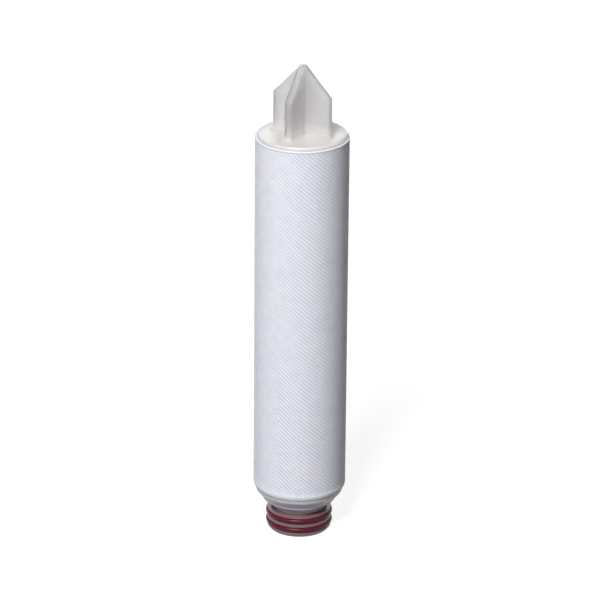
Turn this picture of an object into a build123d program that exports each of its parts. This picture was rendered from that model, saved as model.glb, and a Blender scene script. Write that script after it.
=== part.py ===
from build123d import *
import math
import os

# Depth filter cartridge with a closed fin end and an open end with two O-rings.
# Millimetres, +Z up, origin at the middle of the plug's bottom face.

# Body
body_radius = 31.0
seat_height = 30.7
skin_top = 279.5
bore_radius = 14.0

# Layers, from the outside in
netting_wall = 0.7
wrap_wall = 0.5
prefilter_wall = 6.3
core_wall = 3.2

# Lower edge of the skin, melted and turned in onto the open end cap
edge_turn = 6.0
edge_drop = 3.7

# Netting: two families of strands that cross, between two melted edges
strand_count = 22
strand_lead = 170.0
strand_depth = 0.35
strand_gap = 0.02
lower_band = 5.0
upper_band = 1.5
upper_edge_fillet = 0.6

# Support core: windows between its rings and its ribs
window_rows = 8
window_columns = 6
core_ring = 6.0
core_rib = 5.0

# O-rings of size 222
ring_section = 3.53
ring_bore = 37.69
ring_seat_gap = 0.05

# Plug, from the bottom up
plug_radius = 21.4
foot_land = 3.2
foot_taper_height = 1.8
foot_taper = 1.5
groove_width = 4.2
middle_land = 2.2
flange_thickness = 1.7
neck_radius = 18.7
neck_length = 6.5
bore_chamfer = 1.0

# Shoulder between the plug and the body
shoulder_root_radius = 24.4
shoulder_lip = 0.6
shoulder_corner_drop = 2.4
shoulder_corner_inset = 0.7

# Core seats in the two caps
core_socket_depth = 6.0
core_socket_gap = 0.1
spigot_wall = 2.4

# Closed end cap
cap_thickness = 6.0
cap_stands_proud = 2.4
cap_edge_fillet = 1.6

# Fin on the closed end cap, two crossed blades
fin_radius = 20.4
fin_thickness = 4.4
fin_shoulder_height = 26.1
fin_slope = 46.5
fin_turn = -27.8
fin_apex_fillet = 2.6
fin_shoulder_fillet = 0.8
fin_root_fillet = 2.5

# Radii and heights that follow
wrap_radius = body_radius - netting_wall
media_radius = wrap_radius - wrap_wall
final_radius = media_radius - prefilter_wall
core_radius = bore_radius + core_wall
cap_top = skin_top + cap_stands_proud
media_top = cap_top - cap_thickness
core_base = seat_height - core_socket_depth
groove_radius = ring_bore / 2 - ring_seat_gap
lower_groove = foot_land
upper_groove = lower_groove + groove_width + middle_land
flange_base = upper_groove + groove_width
neck_base = flange_base + flange_thickness
shoulder_base = neck_base + neck_length

os.makedirs("parts", exist_ok=True)


def seated_radius(outer):
    """Radius of a layer's turned-in edge where it meets the open end cap."""
    turn = edge_turn - (body_radius - outer)
    return body_radius - edge_turn + math.sqrt(turn**2 - edge_drop**2)


def layer_envelope(outer, top):
    """Everything inside a layer's outer surface, turned in at its lower edge."""
    with BuildPart() as envelope:
        with BuildSketch(Plane.XZ):
            with BuildLine():
                side = Line((outer, top), (outer, seat_height + edge_drop))
                TangentArc(side @ 1, (seated_radius(outer), seat_height), tangent=(0, -1))
                Polyline((seated_radius(outer), seat_height), (0, seat_height), (0, top), (outer, top))
            make_face()
        revolve(axis=Axis.Z)
    return envelope.part


# Support core: a moulded tube with a grid of windows
with BuildPart() as support_core:
    with BuildSketch(Plane.XY.offset(core_base)):
        Circle(core_radius)
        Circle(bore_radius, mode=Mode.SUBTRACT)
    extrude(amount=media_top - core_base)
    row_pitch = (media_top - seat_height) / window_rows
    window_width = 2 * math.pi * core_radius / window_columns - core_rib
    for row in range(window_rows):
        height = seat_height + row_pitch * (row + 0.5)
        with Locations((0, 0, height)):
            with PolarLocations(core_radius, window_columns, start_angle=180 / window_columns):
                Box(2 * core_wall, window_width, row_pitch - core_ring, mode=Mode.SUBTRACT)
support_core.part.label = "support_core"
export_step(support_core.part, "parts/support_core.step")

# Final media: the fine inner layer
with BuildPart() as final_media:
    with BuildSketch(Plane.XY.offset(seat_height)):
        Circle(final_radius)
        Circle(core_radius, mode=Mode.SUBTRACT)
    extrude(amount=media_top - seat_height)
final_media.part.label = "final_media"
export_step(final_media.part, "parts/final_media.step")

# Prefilter media: the coarse outer layer
with BuildPart() as prefilter_media:
    add(layer_envelope(media_radius, media_top))
    with BuildSketch(Plane.XY.offset(seat_height)):
        Circle(final_radius)
    extrude(amount=media_top - seat_height, mode=Mode.SUBTRACT)
prefilter_media.part.label = "prefilter_media"
export_step(prefilter_media.part, "parts/prefilter_media.step")

# Outer wrap: a thin nonwoven over the media and the edge of the closed end cap
with BuildPart() as outer_wrap:
    add(layer_envelope(wrap_radius, skin_top))
    add(layer_envelope(media_radius, skin_top), mode=Mode.SUBTRACT)
outer_wrap.part.label = "outer_wrap"
export_step(outer_wrap.part, "parts/outer_wrap.step")

# Netting sleeve: strands in relief between two melted edges
ridge_base = seat_height + lower_band
ridge_top = skin_top - upper_band
ridge_rows = round((ridge_top - ridge_base) * 2 * strand_count / strand_lead)
row_height = (ridge_top - ridge_base) / ridge_rows

def net_point(row, column):
    """A crossing of two strands where row and column add up to an even number, or else the valley between four."""
    radius = body_radius if (row + column) % 2 == 0 else body_radius - strand_depth
    turn = math.pi * column / strand_count
    return (radius * math.cos(turn), radius * math.sin(turn), ridge_base + row * row_height)

net_faces = []
for row in range(ridge_rows):
    for column in range(2 * strand_count):
        near = net_point(row, column)
        far = net_point(row, column + 1)
        above = net_point(row + 1, column)
        beyond = net_point(row + 1, column + 1)
        # The fold between the two triangles is a strand, from one crossing to the next
        if (row + column) % 2 == 0:
            halves = [(near, far, beyond), (near, beyond, above)]
        else:
            halves = [(near, far, above), (far, beyond, above)]
        for corners in halves:
            net_faces.append(Face(Wire.make_polygon(corners)))
for row in (0, ridge_rows):
    rim = [net_point(row, column) for column in range(2 * strand_count)]
    net_faces.append(Face(Wire.make_polygon(rim)))

with BuildPart() as netting_sleeve:
    add(Solid(Shell(net_faces)))
    with BuildSketch(Plane.XY.offset(ridge_base)):
        RegularPolygon(wrap_radius + strand_gap, 2 * strand_count, major_radius=False)
    extrude(amount=ridge_top - ridge_base, mode=Mode.SUBTRACT)
    add(layer_envelope(body_radius, ridge_base))
    add(layer_envelope(wrap_radius, ridge_base), mode=Mode.SUBTRACT)
    with BuildSketch(Plane.XY.offset(ridge_top)):
        Circle(body_radius)
        Circle(wrap_radius, mode=Mode.SUBTRACT)
    extrude(amount=upper_band)
    top_edge = netting_sleeve.edges().group_by(Axis.Z)[-1].sort_by(SortBy.RADIUS)[-1]
    fillet(top_edge, upper_edge_fillet)
netting_sleeve.part.label = "netting_sleeve"
export_step(netting_sleeve.part, "parts/netting_sleeve.step")

# Closed end cap with its fin
with BuildPart() as fin_end_cap:
    with BuildSketch(Plane.XY.offset(media_top)):
        Circle(media_radius)
    extrude(amount=cap_thickness)
    rim = fin_end_cap.edges().filter_by(GeomType.CIRCLE).sort_by(Axis.Z)[-1]
    fillet(rim, cap_edge_fillet)
    with BuildSketch(Plane.XY.offset(media_top)):
        Circle(bore_radius - core_socket_gap)
        Circle(bore_radius - core_socket_gap - spigot_wall, mode=Mode.SUBTRACT)
    extrude(amount=-core_socket_depth)
    for blade in range(2):
        angle = math.radians(fin_turn + 90 * blade)
        along = (math.cos(angle), math.sin(angle), 0)
        across = (math.sin(angle), -math.cos(angle), 0)
        with BuildSketch(Plane(origin=(0, 0, cap_top), x_dir=along, z_dir=across)) as profile:
            with BuildLine():
                apex = fin_shoulder_height + fin_radius * math.tan(math.radians(fin_slope))
                Polyline(
                    (-fin_radius, 0),
                    (fin_radius, 0),
                    (fin_radius, fin_shoulder_height),
                    (0, apex),
                    (-fin_radius, fin_shoulder_height),
                    close=True,
                )
            make_face()
            fillet(profile.vertices().group_by(Axis.Y)[-1], fin_apex_fillet)
            shoulders = profile.vertices().filter_by(lambda corner: abs(corner.Y - fin_shoulder_height) < 1e-6)
            fillet(shoulders, fin_shoulder_fillet)
        extrude(amount=fin_thickness / 2, both=True)
    fin_root = fin_end_cap.edges().filter_by_position(Axis.Z, cap_top, cap_top).filter_by(GeomType.LINE)
    fillet(fin_root, fin_root_fillet)
fin_end_cap.part.label = "fin_end_cap"
export_step(fin_end_cap.part, "parts/fin_end_cap.step")

# Open end cap with its plug
with BuildPart() as open_end_cap:
    with BuildSketch(Plane.XZ):
        with BuildLine():
            Polyline(
                (bore_radius, bore_chamfer),
                (bore_radius + bore_chamfer, 0),
                (plug_radius - foot_taper, 0),
                (plug_radius, foot_taper_height),
                (plug_radius, lower_groove),
                (groove_radius, lower_groove),
                (groove_radius, lower_groove + groove_width),
                (plug_radius, lower_groove + groove_width),
                (plug_radius, upper_groove),
                (groove_radius, upper_groove),
                (groove_radius, flange_base),
                (plug_radius, flange_base),
                (plug_radius, neck_base),
                (neck_radius, neck_base),
                (neck_radius, shoulder_base),
                (shoulder_root_radius, shoulder_base),
                (shoulder_root_radius, shoulder_base + shoulder_lip),
                (seated_radius(body_radius) - shoulder_corner_inset, seat_height - shoulder_corner_drop),
                (seated_radius(body_radius), seat_height),
                (core_radius + core_socket_gap, seat_height),
                (core_radius + core_socket_gap, core_base),
                (bore_radius, core_base),
                close=True,
            )
        make_face()
    revolve(axis=Axis.Z)
open_end_cap.part.label = "open_end_cap"
export_step(open_end_cap.part, "parts/open_end_cap.step")

# O-rings in the middle of their grooves
ring_radius = (ring_bore + ring_section) / 2
for ring_name, groove_base in (("o_ring_lower", lower_groove), ("o_ring_upper", upper_groove)):
    with BuildPart() as o_ring:
        with Locations((0, 0, groove_base + groove_width / 2)):
            Torus(ring_radius, ring_section / 2)
    o_ring.part.label = ring_name
    export_step(o_ring.part, f"parts/{ring_name}.step")
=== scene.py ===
import math

import bmesh
import bpy
from mathutils import Matrix, Vector


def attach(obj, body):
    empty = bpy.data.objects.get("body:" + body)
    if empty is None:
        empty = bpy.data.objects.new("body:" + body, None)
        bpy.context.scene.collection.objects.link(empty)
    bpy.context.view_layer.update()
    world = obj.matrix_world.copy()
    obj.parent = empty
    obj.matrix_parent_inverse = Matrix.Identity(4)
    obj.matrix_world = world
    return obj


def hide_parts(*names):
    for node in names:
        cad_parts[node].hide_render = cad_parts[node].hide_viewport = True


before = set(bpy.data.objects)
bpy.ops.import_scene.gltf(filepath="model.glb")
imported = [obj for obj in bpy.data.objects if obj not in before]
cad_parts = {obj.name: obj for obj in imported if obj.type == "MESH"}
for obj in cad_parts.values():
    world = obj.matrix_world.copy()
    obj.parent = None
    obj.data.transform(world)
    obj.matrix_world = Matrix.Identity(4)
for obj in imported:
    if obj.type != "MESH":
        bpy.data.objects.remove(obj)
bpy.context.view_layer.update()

MM = 0.001

# Netting, in millimetres. The skin's sizes are those of the CAD sleeve that it replaces. A strand is given by
# half its thickness and half its width.
SKIN_RADIUS = 31.0
WRAP_RADIUS = 30.3
SKIN_BASE = 30.7
SKIN_TOP = 279.5
SKIN_TURN = 6.0
SKIN_DROP = 3.7
STRANDS = 59
STRAND_LEAD = 170.0
OUTER_STRAND = 0.15
OUTER_WIDTH = 0.85
INNER_STRAND = 0.2
INNER_WIDTH = 0.8
STRAND_INSET = 0.05
STRAND_STEP = 5.0
STRAND_SIDES = 6
BAND_BASE = 4.2
BAND_TOP = 1.2
BAND_LIP = 0.15
BAND_SLOPE = 2.5
BAND_OVERLAP = 0.5
ARC_STEPS = 8
BAND_SPIN_STEPS = 180

# Heights in millimetres at which a moulding's tone changes, and over how much
FIN_FOOT = 281.9
FIN_FADE = 12
# Below FLANGE_TOP the plug's colour carries painted shade and painted red reflection from the seals
FLANGE_TOP = 15.5
FLANGE_FADE = 2

# The photograph's camera: focal length in pixels of a 600 pixel picture, degrees and metres
FOCAL_PIXELS = 3931
PICTURE_PIXELS = 600
CAMERA_ELEVATION = 22.4
CAMERA_ROLL = 0.52
CAMERA_DISTANCE = 2.6
CAMERA_AIM = Vector((-0.0006, 0, 0.1641))
SENSOR_WIDTH = 36

# Middle of the object's height, in metres, that the lamps are placed round
MIDDLE_HEIGHT = 0.16


# Mesh and material helpers

def linear(code):
    """An sRGB hex colour as a linear RGBA value."""
    parts = [int(code[i:i + 2], 16) / 255 for i in (0, 2, 4)]
    return [c / 12.92 if c <= 0.04045 else ((c + 0.055) / 1.055) ** 2.4 for c in parts] + [1.0]


def node(tree, kind, links=(), **settings):
    """Adds a node. Settings named in_N go to input N and others to the node. Links are (input, output) pairs."""
    made = tree.nodes.new(kind)
    for key, value in settings.items():
        if key.startswith("in_"):
            made.inputs[int(key[3:])].default_value = value
        else:
            setattr(made, key, value)
    for socket, source in links:
        tree.links.new(source, made.inputs[socket])
    return made


def material(name):
    """A new material, its node tree and its Principled shader."""
    made = bpy.data.materials.new(name)
    made.use_nodes = True
    tree = made.node_tree
    return made, tree, tree.nodes["Principled BSDF"]


def piece(name, mesh_builder, *finishes, smooth=True):
    """A finished object at the origin from a bmesh."""
    mesh = bpy.data.meshes.new(name)
    mesh_builder.to_mesh(mesh)
    mesh_builder.free()
    for finish in finishes:
        mesh.materials.append(finish)
    if smooth:
        mesh.shade_smooth()
    made = bpy.data.objects.new(name, mesh)
    bpy.context.scene.collection.objects.link(made)
    return made


def dress(cad_name, finish):
    """Gives a carried-over CAD node its finish."""
    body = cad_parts[cad_name]
    body.data.materials.clear()
    body.data.materials.append(finish)
    for face in body.data.polygons:
        face.material_index = 0


# Materials

def natural_polypropylene(name, dull, bright):
    """Natural polypropylene, injection moulded: milky and satin, with faint flow marks. Gives its nodes too."""
    made, tree, shader = material(name)
    place = node(tree, "ShaderNodeTexCoord")
    flow = node(tree, "ShaderNodeTexNoise", [("Vector", place.outputs["Object"])])
    flow.inputs["Scale"].default_value = 1 / (9 * MM)
    flow.inputs["Detail"].default_value = 3
    tint = node(tree, "ShaderNodeValToRGB", [("Fac", flow.outputs["Fac"])])
    tint.color_ramp.elements[0].position = 0.3
    tint.color_ramp.elements[0].color = linear(dull)
    tint.color_ramp.elements[1].position = 0.75
    tint.color_ramp.elements[1].color = linear(bright)
    gloss = node(tree, "ShaderNodeMapRange", [("Value", flow.outputs["Fac"])])
    gloss.inputs["To Min"].default_value = 0.34
    gloss.inputs["To Max"].default_value = 0.46
    fine = node(tree, "ShaderNodeTexNoise", [("Vector", place.outputs["Object"])])
    fine.inputs["Scale"].default_value = 1 / (1.2 * MM)
    bump = node(tree, "ShaderNodeBump", [("Height", fine.outputs["Fac"])])
    bump.inputs["Strength"].default_value = 0.05
    bump.inputs["Distance"].default_value = 0.2 * MM
    tree.links.new(tint.outputs["Color"], shader.inputs["Base Color"])
    tree.links.new(gloss.outputs["Result"], shader.inputs["Roughness"])
    tree.links.new(bump.outputs["Normal"], shader.inputs["Normal"])
    shader.inputs["IOR"].default_value = 1.49
    shader.inputs["Subsurface Weight"].default_value = 0.6
    shader.inputs["Subsurface Radius"].default_value = (1.0, 0.95, 0.95)
    shader.inputs["Subsurface Scale"].default_value = 2 * MM
    return made, tree, shader, place, tint


def fin_polypropylene():
    """The closed cap's moulding: its fin lets light through, and its disc looks white, with media behind it."""
    made, tree, shader, place, tint = natural_polypropylene("fin_polypropylene", "dcd8dc", "e5e1e5")
    height = node(tree, "ShaderNodeSeparateXYZ", [("Vector", place.outputs["Object"])])
    free = node(tree, "ShaderNodeMapRange", [("Value", height.outputs["Z"])],
                interpolation_type="SMOOTHSTEP")
    free.inputs["From Min"].default_value = FIN_FOOT * MM
    free.inputs["From Max"].default_value = (FIN_FOOT + FIN_FADE) * MM
    whole = node(tree, "ShaderNodeMix", [(0, free.outputs["Result"]), (7, tint.outputs["Color"])],
                 data_type="RGBA")
    whole.inputs[6].default_value = linear("dcd5d0")
    tree.links.new(whole.outputs[2], shader.inputs["Base Color"])
    clear = node(tree, "ShaderNodeMath", [(0, free.outputs["Result"])], operation="MULTIPLY", in_1=0.35)
    tree.links.new(clear.outputs[0], shader.inputs["Transmission Weight"])
    shader.inputs["Subsurface Weight"].default_value = 1.0
    shader.inputs["Subsurface Scale"].default_value = 30 * MM
    return made


def plug_polypropylene_painted_seal_shade():
    """The open cap's moulding: from its flange down, the milky plastic is painted a darker red-grey, as painted
    shade between and around the seals and painted red reflection from them.
    """
    made, tree, shader, place, tint = natural_polypropylene("plug_polypropylene_painted_seal_shade", "cbc8d2", "d5d2dc")
    height = node(tree, "ShaderNodeSeparateXYZ", [("Vector", place.outputs["Object"])])
    clear = node(tree, "ShaderNodeMapRange", [("Value", height.outputs["Z"])],
                 interpolation_type="SMOOTHSTEP")
    clear.inputs["From Min"].default_value = FLANGE_TOP * MM
    clear.inputs["From Max"].default_value = (FLANGE_TOP + FLANGE_FADE) * MM
    whole = node(tree, "ShaderNodeMix", [(0, clear.outputs["Result"]), (7, tint.outputs["Color"])],
                 data_type="RGBA")
    # Painted shade and painted red reflection from the seals: the darker red-grey tone given below the flange
    whole.inputs[6].default_value = linear("7e5f67")
    tree.links.new(whole.outputs[2], shader.inputs["Base Color"])
    return made


def strand_polypropylene():
    """White extruded polypropylene netting: satin strands with a soft shine along their length."""
    made, tree, shader = material("netting_polypropylene")
    place = node(tree, "ShaderNodeTexCoord")
    cloud = node(tree, "ShaderNodeTexNoise", [("Vector", place.outputs["Object"])])
    cloud.inputs["Scale"].default_value = 1 / (6 * MM)
    cloud.inputs["Detail"].default_value = 4
    tint = node(tree, "ShaderNodeValToRGB", [("Fac", cloud.outputs["Fac"])])
    tint.color_ramp.elements[0].position = 0.3
    tint.color_ramp.elements[0].color = linear("dfdce6")
    tint.color_ramp.elements[1].position = 0.7
    tint.color_ramp.elements[1].color = linear("e6e3eb")
    gloss = node(tree, "ShaderNodeMapRange", [("Value", cloud.outputs["Fac"])])
    gloss.inputs["To Min"].default_value = 0.3
    gloss.inputs["To Max"].default_value = 0.45
    tree.links.new(tint.outputs["Color"], shader.inputs["Base Color"])
    tree.links.new(gloss.outputs["Result"], shader.inputs["Roughness"])
    shader.inputs["IOR"].default_value = 1.49
    shader.inputs["Specular IOR Level"].default_value = 0.1
    shader.inputs["Subsurface Weight"].default_value = 0.3
    shader.inputs["Subsurface Scale"].default_value = 1 * MM
    return made


def nonwoven_polypropylene():
    """Spunbond and meltblown polypropylene fibre: matt white felt of fine fibres, slightly uneven."""
    made, tree, shader = material("nonwoven_polypropylene")
    place = node(tree, "ShaderNodeTexCoord")
    # Real fibres are about 0.02 mm thick, too fine to show, so they are drawn as 0.5 mm bundles
    bundle = node(tree, "ShaderNodeTexNoise", [("Vector", place.outputs["Object"])])
    bundle.inputs["Scale"].default_value = 1 / (0.5 * MM)
    bundle.inputs["Detail"].default_value = 6
    bundle.inputs["Distortion"].default_value = 1.5
    tint = node(tree, "ShaderNodeValToRGB", [("Fac", bundle.outputs["Fac"])])
    tint.color_ramp.elements[0].position = 0.3
    tint.color_ramp.elements[0].color = linear("dbd9e2")
    tint.color_ramp.elements[1].position = 0.7
    tint.color_ramp.elements[1].color = linear("e8e6ee")
    bump = node(tree, "ShaderNodeBump", [("Height", bundle.outputs["Fac"])])
    bump.inputs["Strength"].default_value = 0.35
    bump.inputs["Distance"].default_value = 0.15 * MM
    tree.links.new(tint.outputs["Color"], shader.inputs["Base Color"])
    tree.links.new(bump.outputs["Normal"], shader.inputs["Normal"])
    shader.inputs["Roughness"].default_value = 0.85
    shader.inputs["Specular IOR Level"].default_value = 0.2
    return made


def seal_elastomer():
    """Moulded elastomer O-ring: dark red and smooth from its mould, with a soft gloss and a little bloom."""
    made, tree, shader = material("seal_elastomer")
    place = node(tree, "ShaderNodeTexCoord")
    bloom = node(tree, "ShaderNodeTexNoise", [("Vector", place.outputs["Object"])])
    bloom.inputs["Scale"].default_value = 1 / (3 * MM)
    bloom.inputs["Detail"].default_value = 4
    tint = node(tree, "ShaderNodeValToRGB", [("Fac", bloom.outputs["Fac"])])
    tint.color_ramp.elements[0].position = 0.3
    tint.color_ramp.elements[0].color = linear("4e1020")
    tint.color_ramp.elements[1].position = 0.75
    tint.color_ramp.elements[1].color = linear("5a1629")
    gloss = node(tree, "ShaderNodeMapRange", [("Value", bloom.outputs["Fac"])])
    gloss.inputs["To Min"].default_value = 0.24
    gloss.inputs["To Max"].default_value = 0.36
    tree.links.new(tint.outputs["Color"], shader.inputs["Base Color"])
    tree.links.new(gloss.outputs["Result"], shader.inputs["Roughness"])
    shader.inputs["IOR"].default_value = 1.5
    shader.inputs["Specular IOR Level"].default_value = 0.15
    return made


# Netting

def add_strands(build, radius, thickness, width, hand):
    """One strand of a family: a small oval section screwed up the sleeve."""
    low = SKIN_BASE + BAND_BASE - BAND_OVERLAP
    high = SKIN_TOP - BAND_TOP + BAND_OVERLAP
    turn = 2 * math.pi * (high - low) / STRAND_LEAD
    steps = round(math.degrees(turn) / STRAND_STEP)
    climb = math.atan2(STRAND_LEAD, 2 * math.pi * radius)
    section = bmesh.ops.create_circle(build, cap_ends=True, segments=STRAND_SIDES, radius=MM)["verts"]
    bmesh.ops.scale(build, vec=(thickness, width / math.cos(climb), 1), verts=section)
    bmesh.ops.rotate(build, cent=(0, 0, 0), matrix=Matrix.Rotation(math.radians(90), 3, "X"), verts=section)
    bmesh.ops.translate(build, vec=(radius * MM, 0, low * MM), verts=section)
    start = [f for f in build.faces if all(v in section for v in f.verts)]
    bmesh.ops.spin(build, geom=start, cent=(0, 0, 0), axis=(0, 0, 1), dvec=(0, 0, (high - low) / steps * MM),
                   angle=hand * turn, steps=steps, use_duplicate=False)


def add_melted_edges(build):
    """The sleeve's two melted edges: a thin band at the top and the turned-in edge at the bottom."""
    turn_centre = SKIN_RADIUS - SKIN_TURN
    seated = turn_centre + math.sqrt(SKIN_TURN ** 2 - SKIN_DROP ** 2)
    turn_height = SKIN_BASE + SKIN_DROP
    points = [(SKIN_RADIUS - BAND_LIP, SKIN_BASE + BAND_BASE), (SKIN_RADIUS, turn_height)]
    last = math.asin(SKIN_DROP / SKIN_TURN)
    for step in range(1, ARC_STEPS + 1):
        angle = last * step / ARC_STEPS
        points.append((turn_centre + SKIN_TURN * math.cos(angle), turn_height - SKIN_TURN * math.sin(angle)))
    thin = SKIN_TURN - (SKIN_RADIUS - WRAP_RADIUS)
    start = math.asin(SKIN_DROP / thin)
    for step in range(ARC_STEPS, -1, -1):
        angle = start * step / ARC_STEPS
        points.append((turn_centre + thin * math.cos(angle), turn_height - thin * math.sin(angle)))
    points.append((WRAP_RADIUS, SKIN_BASE + BAND_BASE + BAND_SLOPE))
    top = [(WRAP_RADIUS, SKIN_TOP - BAND_TOP), (SKIN_RADIUS - 0.1, SKIN_TOP - BAND_TOP),
           (SKIN_RADIUS, SKIN_TOP - 0.8), (SKIN_RADIUS - 0.08, SKIN_TOP - 0.3),
           (SKIN_RADIUS - 0.3, SKIN_TOP - 0.05), (SKIN_RADIUS - 0.5, SKIN_TOP), (WRAP_RADIUS, SKIN_TOP)]
    for outline in (points, top):
        ring = [build.verts.new((x * MM, 0, z * MM)) for x, z in outline]
        edges = [build.edges.new((ring[i], ring[(i + 1) % len(ring)])) for i in range(len(ring))]
        bmesh.ops.spin(build, geom=ring + edges, cent=(0, 0, 0), axis=(0, 0, 1), dvec=(0, 0, 0),
                       angle=2 * math.pi, steps=BAND_SPIN_STEPS, use_merge=True, use_duplicate=False)


def netting(finish):
    """The whole sleeve: two families of strands between two melted edges."""
    build = bmesh.new()
    for radius, thickness, width, hand in (
        (SKIN_RADIUS - STRAND_INSET - OUTER_STRAND, OUTER_STRAND, OUTER_WIDTH, -1),
        (WRAP_RADIUS + INNER_STRAND, INNER_STRAND, INNER_WIDTH, 1),
    ):
        family = bmesh.new()
        add_strands(family, radius, thickness, width, hand)
        bmesh.ops.spin(family, geom=family.faces[:] + family.edges[:] + family.verts[:], cent=(0, 0, 0),
                       axis=(0, 0, 1), dvec=(0, 0, 0), angle=2 * math.pi * (STRANDS - 1) / STRANDS,
                       steps=STRANDS - 1, use_duplicate=True)
        part = bpy.data.meshes.new("strand_family")
        family.to_mesh(part)
        family.free()
        build.from_mesh(part)
        bpy.data.meshes.remove(part)
    strand_faces = len(build.faces)
    add_melted_edges(build)
    for face in build.faces[strand_faces:]:
        face.smooth = True
    bmesh.ops.recalc_face_normals(build, faces=build.faces[:])
    # The strands stay flat shaded: smoothed, so flat a section would look like a deep round cord
    return piece("netting", build, finish, smooth=False)


fin_moulding = fin_polypropylene()
moulding = natural_polypropylene("natural_polypropylene", "cbc8d2", "d5d2dc")[0]
plug_moulding_painted_seal_shade = plug_polypropylene_painted_seal_shade()
strand = strand_polypropylene()
fibre = nonwoven_polypropylene()
seal = seal_elastomer()

sleeve = netting(strand)
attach(sleeve, "root")
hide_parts("netting_sleeve")

dress("fin_end_cap", fin_moulding)
dress("open_end_cap", plug_moulding_painted_seal_shade)
dress("support_core", moulding)
for name in ("outer_wrap", "prefilter_media", "final_media"):
    dress(name, fibre)
for name in ("o_ring_upper", "o_ring_lower"):
    dress(name, seal)


# Floor, light and camera

def shown_ray(tree):
    """1 for rays that show the background, also by reflection or through plastic, and 0 for the others."""
    rays = node(tree, "ShaderNodeLightPath")
    seen = node(tree, "ShaderNodeMath", [(0, rays.outputs["Is Camera Ray"]), (1, rays.outputs["Is Glossy Ray"])],
                operation="MAXIMUM")
    through = node(tree, "ShaderNodeMath", [(0, seen.outputs[0]), (1, rays.outputs["Is Transmission Ray"])],
                   operation="MAXIMUM")
    return through.outputs[0]


def pale_floor():
    """A plain white studio floor that keeps the object's shadow."""
    made, tree, shader = material("pale_floor")
    shown = shown_ray(tree)
    tone = node(tree, "ShaderNodeMix", [(0, shown)], data_type="RGBA")
    tone.inputs[6].default_value = linear("767676")
    tone.inputs[7].default_value = linear("868686")
    tree.links.new(tone.outputs[2], shader.inputs["Base Color"])
    shader.inputs["Roughness"].default_value = 1.0
    glow = node(tree, "ShaderNodeMath", [(0, shown)], operation="MULTIPLY", in_1=0.87)
    tree.links.new(glow.outputs[0], shader.inputs["Emission Strength"])
    shader.inputs["Emission Color"].default_value = linear("ffffff")
    return made


floor_build = bmesh.new()
# A tenth of a millimetre lower than the plug's foot, so the two faces don't share a plane
bmesh.ops.create_grid(floor_build, x_segments=1, y_segments=1, size=30,
                      matrix=Matrix.Translation((0, 0, -0.1 * MM)))
floor = piece("floor", floor_build, pale_floor(), smooth=False)

world = bpy.data.worlds.new("studio")
bpy.context.scene.world = world
world.use_nodes = True
background = world.node_tree.nodes["Background"]
background.inputs["Color"].default_value = linear("ffffff")
level = node(world.node_tree, "ShaderNodeMapRange", [("Value", shown_ray(world.node_tree))])
level.inputs["To Min"].default_value = 0.025
level.inputs["To Max"].default_value = 1.0
world.node_tree.links.new(level.outputs["Result"], background.inputs["Strength"])


def lamp(name, place, aim, width, height, power):
    """A rectangular softbox at a place, turned to its aim."""
    data = bpy.data.lights.new(name, "AREA")
    data.shape = "RECTANGLE"
    data.size = width
    data.size_y = height
    data.energy = power
    made = bpy.data.objects.new(name, data)
    bpy.context.scene.collection.objects.link(made)
    made.location = place
    made.rotation_euler = (Vector(aim) - Vector(place)).to_track_quat("-Z", "Y").to_euler()


def around(azimuth, elevation, distance):
    """A place round the object's middle: azimuth 0 is the camera's side, and positive is to its right."""
    turn = math.radians(azimuth)
    rise = math.radians(elevation)
    out = distance * math.cos(rise)
    return (out * math.sin(turn), -out * math.cos(turn), MIDDLE_HEIGHT + distance * math.sin(rise))


lamp("key_softbox", around(-18, 46, 3.5), (0, 0, 0.18), 1.0, 1.0, 166)
lamp("back_softbox", around(178, 8, 2.5), (0, 0, MIDDLE_HEIGHT), 1.2, 0.4, 17)

camera = bpy.data.objects.new("camera", bpy.data.cameras.new("camera"))
bpy.context.scene.collection.objects.link(camera)
bpy.context.scene.camera = camera
camera.data.sensor_width = SENSOR_WIDTH
camera.data.lens = SENSOR_WIDTH * FOCAL_PIXELS / PICTURE_PIXELS
elevation = math.radians(CAMERA_ELEVATION)
back = Vector((0, -math.cos(elevation), math.sin(elevation)))
camera.location = CAMERA_AIM + back * CAMERA_DISTANCE
camera.rotation_mode = "QUATERNION"
roll = Matrix.Rotation(math.radians(CAMERA_ROLL), 3, "Z").to_quaternion()
camera.rotation_quaternion = (-back).to_track_quat("-Z", "Y") @ roll
camera.data.clip_start = 0.05
camera.data.clip_end = 100

bpy.context.scene.view_settings.view_transform = "Standard"
